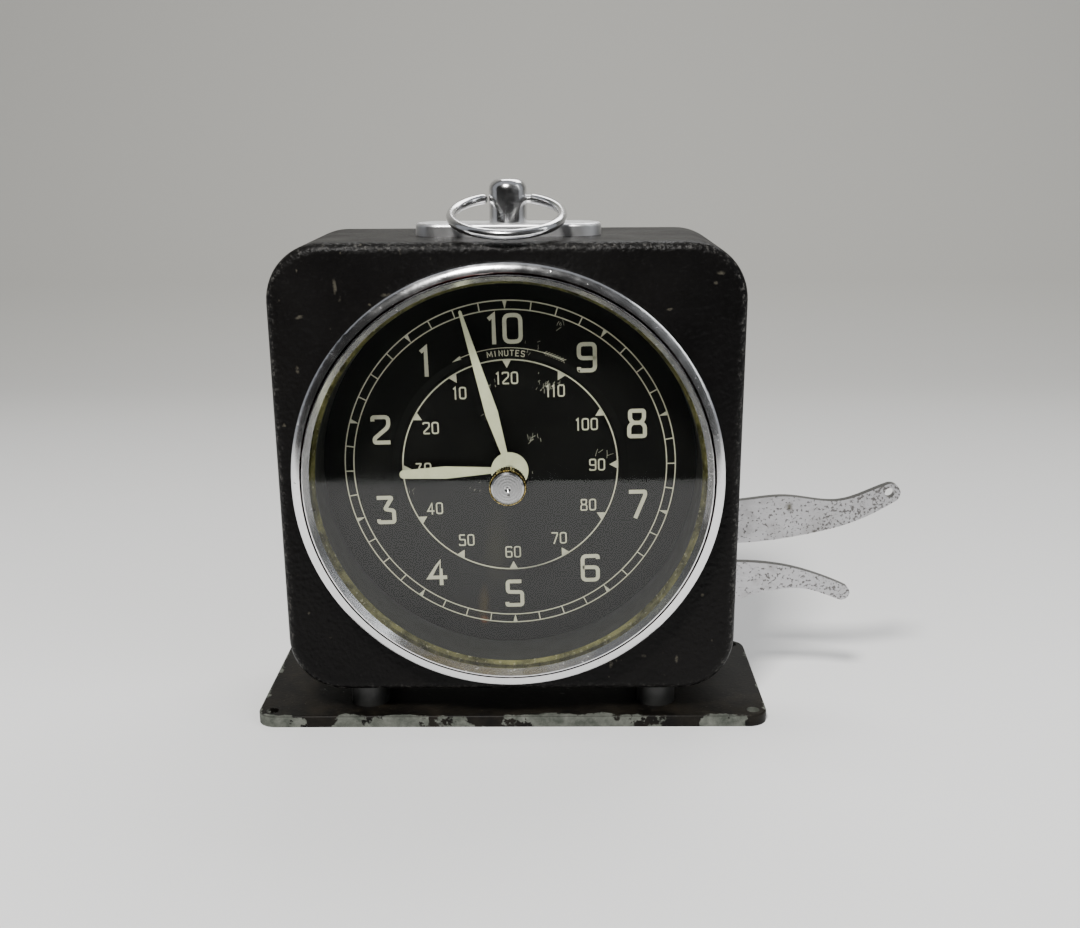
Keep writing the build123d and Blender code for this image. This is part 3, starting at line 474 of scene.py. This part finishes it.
class Print:
    """Thin closed slabs of ink on the dial, gathered into one mesh."""

    def __init__(self, lift=0.0):
        self.mesh = bmesh.new()
        self.lift = lift

    def point(self, u, v, raised):
        c, s = math.cos(PRINT_TILT), math.sin(PRINT_TILT)
        x, z = u * c - v * s, u * s + v * c
        depth = surface_depth(math.hypot(u, v)) - raised - self.lift
        return self.mesh.verts.new((x * MM, DIAL_Y + depth * MM, DIAL_Z + z * MM))

    def quad(self, corners):
        """One convex flat piece from its corners, anticlockwise."""
        top = [self.point(u, v, PRINT_T) for u, v in corners]
        bottom = [self.point(u, v, -PRINT_T) for u, v in corners]
        self.mesh.faces.new(top)
        self.mesh.faces.new(bottom[::-1])
        for i in range(len(top)):
            j = (i + 1) % len(top)
            self.mesh.faces.new((top[i], bottom[i], bottom[j], top[j]))

    def stroke(self, path, width, closed=False):
        """A line of even width along a path of (u, v) points, mitred at its bends."""
        points = [Vector(p) for p in path]
        count = len(points)
        rails = []
        for i in range(count):
            before = points[i - 1] if closed or i else None
            after = points[(i + 1) % count] if closed or i < count - 1 else None
            into = (points[i] - before).normalized() if before is not None else None
            out = (after - points[i]).normalized() if after is not None else None
            along = (into + out).normalized() if into is not None and out is not None else (into or out)
            across = Vector((-along.y, along.x))
            reach = width / 2
            if into is not None and out is not None:
                reach /= max(0.5, across.dot(Vector((-into.y, into.x))))
            rails.append((points[i] + across * reach, points[i] - across * reach))
        self.strip(rails, closed)

    def strip(self, rails, closed=False):
        """A closed slab between two rails of points."""
        rows = []
        for left, right in rails:
            rows.append([self.point(left[0], left[1], PRINT_T), self.point(right[0], right[1], PRINT_T),
                         self.point(right[0], right[1], -PRINT_T), self.point(left[0], left[1], -PRINT_T)])
        last = len(rows) if closed else len(rows) - 1
        for i in range(last):
            a, b = rows[i], rows[(i + 1) % len(rows)]
            for k in range(4):
                m = (k + 1) % 4
                self.mesh.faces.new((a[k], a[m], b[m], b[k]))
        if not closed:
            self.mesh.faces.new(rows[0][::-1])
            self.mesh.faces.new(rows[-1])

    def ring(self, radius, width, start=0.0, end=360.0):
        """A circle, or an arc between two angles counted anticlockwise from the top."""
        closed = end - start >= 360.0
        steps = max(6, int((end - start) / 1.5))
        count = steps if closed else steps + 1
        angles = [math.radians(start + (end - start) * i / steps) for i in range(count)]
        rails = [(polar(radius + width / 2, a), polar(radius - width / 2, a)) for a in angles]
        self.strip(rails, closed)

    def finish(self, name, material):
        bmesh.ops.recalc_face_normals(self.mesh, faces=self.mesh.faces)
        add_piece(name, self.mesh, material, "case")


def polar(radius, angle):
    """(u, v) at an angle in radians anticlockwise from the top."""
    return (-radius * math.sin(angle), radius * math.cos(angle))


def add_piece(name, mesh, material, body):
    data = bpy.data.meshes.new(name)
    mesh.to_mesh(data)
    mesh.free()
    piece = bpy.data.objects.new(name, data)
    bpy.context.scene.collection.objects.link(piece)
    data.materials.append(material)
    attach(piece, body)


# Numerals and letters as strokes in a unit box, each a list of (points, corner radius, closed).
BOX = [(0, 0), (1, 0), (1, 1), (0, 1)]
GLYPHS = {
    "0": [(BOX, 0.26, True)],
    "1": [([(0.18, 0.86), (0.5, 1.02), (0.5, -0.08)], 0.0, False)],
    "2": [([(0, 0.84), (0, 1), (1, 1), (1, 0.62), (0.06, 0.16), (0.06, 0), (1.06, 0)], 0.18, False)],
    "3": [([(-0.06, 1), (0.92, 1), (0.42, 0.53), (1, 0.47), (1, 0), (0, 0), (0, 0.12)], 0.1, False)],
    "4": [([(0.74, -0.08), (0.74, 1), (-0.04, 0.25), (1.12, 0.25)], 0.0, False)],
    "5": [([(0.97, 1), (0.06, 1), (0.06, 0.56), (1, 0.54), (1, 0), (0, 0), (0, 0.13)], 0.12, False)],
    "6": [([(1, 0.87), (1, 1), (0, 1), (0, 0), (1, 0), (1, 0.53), (0, 0.53)], 0.2, False)],
    "7": [([(-0.04, 1), (1, 1), (1, 0.84), (0.36, -0.08)], 0.06, False)],
    "8": [([(0.06, 1), (0.94, 1), (0.94, 0.68), (0.74, 0.53), (0.26, 0.53), (0.06, 0.68)], 0.1, True),
          ([(0.2, 0.53), (0.8, 0.53), (1, 0.38), (1, 0), (0, 0), (0, 0.38)], 0.1, True)],
    "9": [([(0, 0.13), (0, 0), (1, 0), (1, 1), (0, 1), (0, 0.47), (1, 0.47)], 0.2, False)],
    "M": [([(0, 0), (0.08, 1), (0.5, 0.25), (0.92, 1), (1, 0)], 0.0, False)],
    "I": [([(0.5, 0), (0.5, 1)], 0.0, False)],
    "N": [([(0.08, 0), (0.08, 1), (0.92, 0), (0.92, 1)], 0.0, False)],
    "U": [([(0.06, 1), (0.06, 0), (0.94, 0), (0.94, 1)], 0.3, False)],
    "T": [([(0, 1), (1, 1)], 0.0, False), ([(0.5, 1), (0.5, 0)], 0.0, False)],
    "E": [([(0.95, 1), (0.1, 1), (0.1, 0), (0.95, 0)], 0.0, False),
          ([(0.1, 0.52), (0.8, 0.52)], 0.0, False)],
    "S": [([(0.95, 0.85), (0.8, 1), (0.1, 1), (0.1, 0.55), (0.9, 0.45), (0.9, 0), (0.15, 0), (0.02, 0.15)],
           0.15, False)],
}


def rounded(points, radius, closed):
    """The path with its corners rounded by short arcs of that radius at most."""
    if radius <= 0:
        return points
    path = []
    count = len(points)
    for i, here in enumerate(points):
        here = Vector(here)
        if not closed and i in (0, count - 1):
            path.append(here)
            continue
        before, after = Vector(points[i - 1]), Vector(points[(i + 1) % count])
        reach = min(radius, (before - here).length * 0.48, (after - here).length * 0.48)
        start = here + (before - here).normalized() * reach
        end = here + (after - here).normalized() * reach
        for t in (0.0, 0.25, 0.5, 0.75, 1.0):
            path.append(start * (1 - t) ** 2 + here * 2 * t * (1 - t) + end * t ** 2)
    return path


def draw_glyph(ink, letter, centre, size, width, turn=0.0):
    """Draw one glyph with its box centred on a point. The box is the strokes' middle lines."""
    w, h = size
    c, s = math.cos(turn), math.sin(turn)
    for layer, (points, corner, closed) in enumerate(GLYPHS[letter]):
        scaled = [((u - 0.5) * w, (v - 0.5) * h) for u, v in points]
        path = rounded(scaled, corner * w * 1.4, closed)
        path = [(centre[0] + u * c - v * s, centre[1] + u * s + v * c) for u, v in path]
        ink.lift = 0.008 * layer
        ink.stroke(path, width, closed)
    ink.lift = 0.0


def draw_number(ink, text, centre, size, width, gap):
    """Draw a number upright, its digits side by side."""
    advances = [size[0] * (0.45 if d == "1" else 1.0) + gap for d in text]
    u = centre[0] - (sum(advances) - gap) / 2
    for digit, advance in zip(text, advances):
        draw_glyph(ink, digit, (u + (advance - gap) / 2, centre[1]), size, width)
        u += advance


def draw_minute_track(ink):
    """Two fine circles with a tick each quarter minute and an inward triangle each minute."""
    ink.ring(TRACK_OUTER_R, LINE_W)
    ink.ring(TRACK_INNER_R, LINE_W)
    for i in range(40):
        a = math.radians(9 * i)
        if i % 4:
            ink.stroke([polar(TRACK_INNER_R, a), polar(TRACK_OUTER_R, a)], LINE_W)
        else:
            half = 0.56 / TRACK_OUTER_R
            ink.quad([polar(TRACK_OUTER_R, a + half), polar(TRACK_INNER_R, a),
                      polar(TRACK_OUTER_R, a - half)])


def draw_numerals(ink):
    """1 to 10 minutes, counted anticlockwise."""
    for n in range(1, 11):
        radius = TEN_R if n == 10 else NUMERAL_R
        draw_number(ink, str(n), polar(radius, math.radians(36 * n)), NUMERAL_BOX, 1.0, 1.75)


def draw_long_scale(ink):
    """10 to 120 minutes inside the fine circle, counted anticlockwise."""
    ink.ring(SCALE_R, LINE_W * 1.15)
    for i in range(1, 13):
        a = math.radians(30 * i)
        half = 1.12 / SCALE_R
        ink.quad([polar(SCALE_R, a + half), polar(SCALE_R - 2.1, a), polar(SCALE_R, a - half)])
        lean = math.radians(2.2) * math.sin(2 * a)
        radius = SMALL_NUMERAL_R - 0.6 * abs(math.sin(a)) ** 3
        draw_number(ink, str(10 * i), polar(radius, a + lean), SMALL_NUMERAL_BOX, 0.36, 0.78)


def draw_direction_arrow(ink):
    """The unit's name under an arrow that points the way the numbers rise."""
    ink.ring(ARROW_R, 0.17, -28.0, 22.5)
    tip, back = math.radians(26.5), math.radians(22.0)
    ink.quad([polar(ARROW_R + 0.45, back), polar(ARROW_R - 0.1, tip), polar(ARROW_R - 0.45, back)])
    for i in range(8):
        a = math.radians(-18.0 - 1.35 * i)
        for side in (-1, 1):
            ink.stroke([polar(ARROW_R, a), polar(ARROW_R + 0.5 * side, a - math.radians(1.3))], 0.13)
    word = "MINUTES"
    for i, letter in enumerate(word):
        a = math.radians(8.2 - 16.4 * i / (len(word) - 1))
        size = (0.2, 1.4) if letter == "I" else (1.25 if letter == "M" else 0.95, 1.4)
        draw_glyph(ink, letter, polar(WORD_R, a), size, 0.22, a)


def dial_print(material):
    ink = Print()
    draw_minute_track(ink)
    draw_numerals(ink)
    draw_long_scale(ink)
    draw_direction_arrow(ink)
    ink.finish("dial_print", material)


def dial_scratches(material):
    """Short scratches and scuffs in the paint, bunched where the hands were bent and handled."""
    random.seed(11)
    ink = Print(0.004)
    bunches = [((9.8, 20.6), 3.0, 26, 0.9), ((-4.5, 13.5), 2.6, 12, 0.8), ((5.5, 7.0), 2.2, 10, 1.2),
               ((-3.5, 21.0), 2.0, 6, 0.7), ((-25.5, -5.5), 1.6, 7, 0.6), ((14.0, 36.0), 2.4, 5, 1.3),
               ((24.3, 3.2), 2.0, 4, 1.9), ((7.5, 30.2), 5.0, 5, 1.5), ((-8.0, -5.0), 12.0, 9, 0.5)]
    for (u, v), spread, count, length in bunches:
        for _ in range(count):
            a = random.uniform(0.3, 1.9)
            cu, cv = random.gauss(u, spread * 0.4), random.gauss(v, spread * 0.3)
            half = length * random.uniform(0.2, 0.6)
            path = [(cu - half * math.cos(a), cv - half * math.sin(a)),
                    (cu + random.uniform(-0.1, 0.1), cv + random.uniform(-0.1, 0.1)),
                    (cu + half * math.cos(a), cv + half * math.sin(a))]
            ink.stroke(path, random.uniform(0.05, 0.12))
    ink.finish("dial_scratches", material)


# ---------------------------------------------------------------- dressing the CAD pieces

def dress(node, material):
    """Give a CAD node its material."""
    slots = NODES[node].data.materials
    slots.clear()
    slots.append(material)


def dress_everything():
    """Every CAD node takes the material of its slot in the record."""
    makers = {
        "case_paint": case_paint, "base_paint": base_paint, "chrome_plate": chrome_plate,
        "plated_steel": plated_steel, "window_glass": window_glass, "tarnished_brass": tarnished_brass,
        "black_enamel": black_enamel, "dial_black": dial_black, "brass_plate": brass_plate,
        "steel": machined_steel,
    }
    materials = {slot: maker() for slot, maker in makers.items()}
    materials["lume_cream"] = cream_print("lume_cream", (0.60, 0.60, 0.42), (0.49, 0.49, 0.32))
    materials["bell_metal"] = brass_plate("bell_metal", (0.66, 0.57, 0.38), (0.46, 0.38, 0.22), 0.22)
    for part in frame["record"]["subparts"]:
        dress(part["node"], materials[part["material_slot"]])
    dress("setting_knob", knob_metal())
    dress("bezel", bezel_chrome())
    dress("top_plate", chrome_plate("top_plate_chrome", 0.22))


# ---------------------------------------------------------------- stage

def add_plane(name, corners, material):
    data = bpy.data.meshes.new(name)
    data.from_pydata(corners, [], [tuple(range(len(corners)))])
    plane = bpy.data.objects.new(name, data)
    bpy.context.scene.collection.objects.link(plane)
    data.materials.append(material)
    return plane


def add_sweep():
    """Pale seamless floor that curves up into a wall behind, with painted shade darkening it towards the
    back.
    """
    g = Graph("pale_paper")
    cloud = g.noise(3.0, 3.0)
    paper = g.mix(cloud, (0.70, 0.70, 0.695), (0.74, 0.74, 0.735))
    back = g.axes(g.place)[1]
    # Painted shade: the paper's colour darkens from y 0 to 0.62 m, towards and up the back wall.
    g.set(base_color=g.mix(g.band(back, 0.0, 0.62), paper, (0.30, 0.295, 0.275)), roughness=0.9)
    profile = [(-SWEEP_HALF, 0.0), (SWEEP_BACK_Y, 0.0)]
    for i in range(1, 16):
        a = math.radians(6 * i)
        profile.append((SWEEP_BACK_Y + SWEEP_BEND * math.sin(a), SWEEP_BEND - SWEEP_BEND * math.cos(a)))
    profile.append((SWEEP_BACK_Y + SWEEP_BEND, SWEEP_HALF))
    mesh = bmesh.new()
    rows = [[mesh.verts.new((x, y, z)) for x in (-SWEEP_HALF, SWEEP_HALF)] for y, z in profile]
    for a, b in zip(rows, rows[1:]):
        mesh.faces.new((a[0], a[1], b[1], b[0]))
    data = bpy.data.meshes.new("sweep")
    mesh.to_mesh(data)
    mesh.free()
    for polygon in data.polygons:
        polygon.use_smooth = True
    sweep = bpy.data.objects.new("sweep", data)
    bpy.context.scene.collection.objects.link(sweep)
    data.materials.append(g.material)


def add_dark_flag():
    """A black card in front that only reflections see, like the dark room beyond a table."""
    g = Graph("flag_black")
    g.set(base_color=(0.004, 0.004, 0.004, 1.0), roughness=1.0)
    corners = [(x, FLAG_Y, z) for x, z in ((-FLAG_HALF, 0.0), (FLAG_HALF, 0.0), (FLAG_HALF, FLAG_TOP),
                                           (-FLAG_HALF, FLAG_TOP))]
    flag = add_plane("dark_flag", corners, g.material)
    for ray in ("visible_camera", "visible_diffuse", "visible_shadow", "visible_transmission"):
        setattr(flag, ray, False)


def add_softbox(name, place, target, size, power, colour=(1.0, 1.0, 1.0)):
    light = bpy.data.lights.new(name, "AREA")
    light.shape = "RECTANGLE"
    light.size, light.size_y = size
    light.energy = power
    light.color = colour
    lamp = bpy.data.objects.new(name, light)
    lamp.location = place
    lamp.rotation_mode = "QUATERNION"
    lamp.rotation_quaternion = (Vector(target) - Vector(place)).to_track_quat("-Z", "Y")
    bpy.context.scene.collection.objects.link(lamp)


def add_lights():
    world = bpy.data.worlds.new("room")
    world.use_nodes = True
    world.node_tree.nodes["Background"].inputs[0].default_value = (0.9, 0.93, 1.0, 1.0)
    world.node_tree.nodes["Background"].inputs[1].default_value = 0.32
    bpy.context.scene.world = world
    aim = (0.0, 0.0, 0.06)
    add_softbox("key", (-0.22, -0.75, 1.0), aim, (0.20, 0.20), 24.0, (1.0, 0.985, 0.96))
    add_softbox("fill", (0.75, -0.5, 0.55), aim, (0.7, 0.7), 4.0, (0.96, 0.98, 1.0))
    add_softbox("back", (0.2, 0.55, 0.85), aim, (0.8, 0.4), 6.0)


def add_camera():
    """The camera's place and turn, in millimetres and degrees."""
    place = Vector((10.8, -343.7, 147.9)) * MM
    down, left, roll = math.radians(18.411), math.radians(0.590), math.radians(-0.380)
    forward = Vector((-math.sin(left) * math.cos(down), math.cos(left) * math.cos(down), -math.sin(down)))
    right = Vector((math.cos(left), math.sin(left), 0.0))
    up = right.cross(forward)
    right, up = right * math.cos(roll) + up * math.sin(roll), up * math.cos(roll) - right * math.sin(roll)
    camera = bpy.data.objects.new("camera", bpy.data.cameras.new("camera"))
    camera.matrix_world = Matrix((
        (right.x, up.x, -forward.x, place.x),
        (right.y, up.y, -forward.y, place.y),
        (right.z, up.z, -forward.z, place.z),
        (0.0, 0.0, 0.0, 1.0)))
    camera.data.lens = 44.46
    camera.data.sensor_width = 36.0
    camera.data.shift_y = 0.1
    camera.data.clip_start = 0.01
    bpy.context.scene.collection.objects.link(camera)
    bpy.context.scene.camera = camera


dress_everything()
dial_print(cream_print())
dial_scratches(cream_print("scratch", (0.38, 0.37, 0.30), (0.22, 0.21, 0.17)))
add_sweep()
add_dark_flag()
add_lights()
add_camera()
